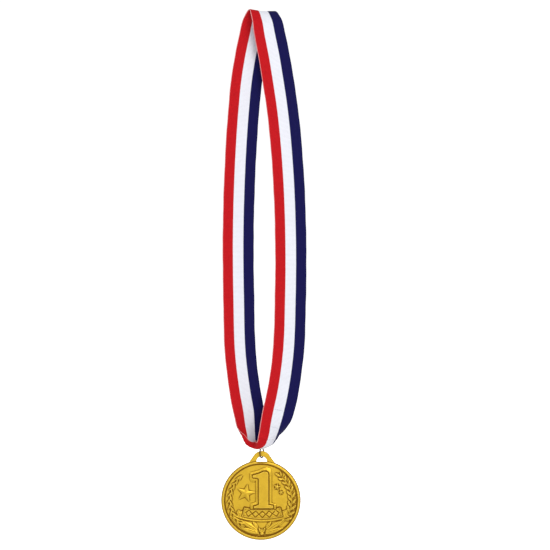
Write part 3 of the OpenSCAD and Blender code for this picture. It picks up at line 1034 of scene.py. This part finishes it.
def thread_material(settings):
    material, tree, shader = new_material("sewing_thread")
    split = tree.nodes.new("ShaderNodeSeparateXYZ")
    tree.links.new(tree.nodes.new("ShaderNodeTexCoord").outputs["Object"], split.inputs[0])
    weave = place_group(tree, shared_group("ribbed_weave", woven_group), {
        "Rib Pitch": 0.00022, "Yarn Pitch": 0.00016})
    # The twist of the thread runs aslant across each stitch
    tree.links.new(math_node(tree, "ADD", split.outputs["X"], split.outputs["Z"]), weave.inputs["Along"])
    tree.links.new(split.outputs["Z"], weave.inputs["Across"])
    thread = tuple(settings.colour)
    colour = mix_colour(tree, weave.outputs["Shade"], tuple(0.7 * c for c in thread), thread)
    tree.links.new(colour, shader.inputs["Base Color"])
    shader.inputs["Roughness"].default_value = 0.55
    bump(tree, shader, weave.outputs["Height"], 0.00003)
    return material


def floor_material(settings):
    material, tree, shader = new_material("pale_floor")
    pale = tuple(settings.floor)
    tone = map_range(tree, noise(tree, 3), 0.3, 0.7)
    colour = mix_colour(tree, tone, tuple(0.985 * c for c in pale), pale)
    tree.links.new(colour, shader.inputs["Base Color"])
    shader.inputs["Roughness"].default_value = 0.9
    shader.inputs["Emission Color"].default_value = (1, 1, 1, 1)
    # Seen as white, but throws only a little light upwards
    seen = tree.nodes.new("ShaderNodeLightPath").outputs["Is Camera Ray"]
    tree.links.new(map_range(tree, seen, 0, 1, 0.25, 0.85, soft=False), shader.inputs["Emission Strength"])
    return material


def finish_piece(obj, material, body, node):
    obj.data.materials.append(material)
    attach(obj, body)
    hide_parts(node)


# ---- operators ----
class AWARD_OT_cast_medal(bpy.types.Operator):
    """Casts the disc with its relief and the bail"""

    bl_idname = "award.cast_medal"
    bl_label = "Cast medal"

    def execute(self, context):
        settings = context.scene.award_medal
        obj = build_medal(settings)
        # The relief gets painted shade in its recesses and a painted highlight on its raised edges
        material = metal_material(
            "gilt_casting", settings.gold, settings.recess, settings.edge_highlight, 0.10, 0.42, 0.000006)
        finish_piece(obj, material, "medal", "medal_body")
        return {"FINISHED"}


class AWARD_OT_bend_ring(bpy.types.Operator):
    """Bends the jump ring from round wire"""

    bl_idname = "award.bend_ring"
    bl_label = "Bend jump ring"

    def execute(self, context):
        settings = context.scene.award_ring
        obj = build_ring(settings)
        base = tuple(settings.colour)
        dark = tuple(0.4 * c for c in base)
        material = metal_material("plated_wire", base, dark, base, 0.5, 0.28, 0.000002)
        finish_piece(obj, material, "ring", "jump_ring")
        return {"FINISHED"}


class AWARD_OT_weave_ribbon(bpy.types.Operator):
    """Lays the striped ribbon round its loop"""

    bl_idname = "award.weave_ribbon"
    bl_label = "Weave neck ribbon"

    def execute(self, context):
        settings = context.scene.award_ribbon
        obj, length = build_ribbon(settings)
        finish_piece(obj, ribbon_material(settings), "ribbon", "neck_ribbon")
        return {"FINISHED"}


class AWARD_OT_sew_seam(bpy.types.Operator):
    """Sews the two rows of stitches through the lap"""

    bl_idname = "award.sew_seam"
    bl_label = "Sew lap seam"

    def execute(self, context):
        settings = context.scene.award_seam
        obj = build_seam(settings, context.scene.award_ribbon)
        finish_piece(obj, thread_material(settings), "ribbon", "seam_stitches")
        return {"FINISHED"}


def area_light(name, place, target, size, power):
    data = bpy.data.lights.new(name, "AREA")
    data.shape = "DISK"
    data.size = size
    data.energy = power
    lamp = bpy.data.objects.new(name, data)
    lamp.location = place
    lamp.rotation_euler = (Vector(target) - Vector(place)).to_track_quat("-Z", "Y").to_euler()
    bpy.context.scene.collection.objects.link(lamp)


class AWARD_OT_set_stage(bpy.types.Operator):
    """Sets the floor, lights and camera"""

    bl_idname = "award.set_stage"
    bl_label = "Set stage"

    def execute(self, context):
        settings = context.scene.award_stage
        scene = context.scene
        half, cells = 6.0, 12
        line = np.linspace(-half, half, cells + 1)
        points = [(x / MM, y / MM, -settings.floor_drop / MM) for y in line for x in line]
        floor = mesh_object("studio_floor", points, grid_faces(cells + 1, cells + 1, wrap_columns=False))
        floor.data.materials.append(floor_material(settings))
        middle = (0, 0, -0.17)
        area_light("key_light", (0.5, -1.8, 0.45), middle, 1.0, 19.5)
        area_light("fill_light", (-0.9, -1.5, 0.2), middle, 0.8, 4.5)
        area_light("top_light", (0, -0.1, 1.1), middle, 0.9, 3.5)
        area_light("back_light", (-0.5, 1.8, 0.45), middle, 1.0, 12)
        world = bpy.data.worlds.new("white_room")
        scene.world = world
        world.use_nodes = True
        background = world.node_tree.nodes["Background"]
        background.inputs["Color"].default_value = (1, 1, 1, 1)
        # The room itself is seen as white, and lights the medal only softly
        tree = world.node_tree
        seen = tree.nodes.new("ShaderNodeLightPath").outputs["Is Camera Ray"]
        tree.links.new(map_range(tree, seen, 0, 1, 0.36, 1.05, soft=False), background.inputs["Strength"])
        camera = bpy.data.objects.new("camera", bpy.data.cameras.new("camera"))
        scene.collection.objects.link(camera)
        camera.location = (0.009, -settings.camera_distance, -0.1684)
        camera.rotation_euler = (math.pi / 2, 0, 0)
        camera.data.sensor_width = 36
        camera.data.lens = 36 * settings.camera_distance / settings.frame_width
        scene.camera = camera
        scene.view_settings.view_transform = "Standard"
        return {"FINISHED"}


class AWARD_PT_pieces(bpy.types.Panel):
    """Lists the medal's pieces in the sidebar"""

    bl_label = "Award medal"
    bl_idname = "AWARD_PT_pieces"
    bl_space_type = "VIEW_3D"
    bl_region_type = "UI"
    bl_category = "Award"

    def draw(self, context):
        layout = self.layout
        for operator, group in PIECES:
            layout.operator(operator)
            settings = getattr(context.scene, group)
            for name in settings.__annotations__:
                layout.prop(settings, name)


PIECES = [
    ("award.cast_medal", "award_medal"),
    ("award.bend_ring", "award_ring"),
    ("award.weave_ribbon", "award_ribbon"),
    ("award.sew_seam", "award_seam"),
    ("award.set_stage", "award_stage"),
]
SETTINGS = {
    "award_medal": MedalSettings,
    "award_ring": RingSettings,
    "award_ribbon": RibbonSettings,
    "award_seam": SeamSettings,
    "award_stage": StageSettings,
}
CLASSES = [*SETTINGS.values(), AWARD_OT_cast_medal, AWARD_OT_bend_ring, AWARD_OT_weave_ribbon,
           AWARD_OT_sew_seam, AWARD_OT_set_stage, AWARD_PT_pieces]


def register():
    for cls in CLASSES:
        bpy.utils.register_class(cls)
    for name, cls in SETTINGS.items():
        setattr(bpy.types.Scene, name, bpy.props.PointerProperty(type=cls))


def unregister():
    for name in SETTINGS:
        delattr(bpy.types.Scene, name)
    for cls in reversed(CLASSES):
        bpy.utils.unregister_class(cls)


def main():
    register()
    bpy.ops.award.cast_medal()
    bpy.ops.award.bend_ring()
    bpy.ops.award.weave_ribbon()
    bpy.ops.award.sew_seam()
    bpy.ops.award.set_stage()
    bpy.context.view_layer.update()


if __name__ == "__main__":
    main()
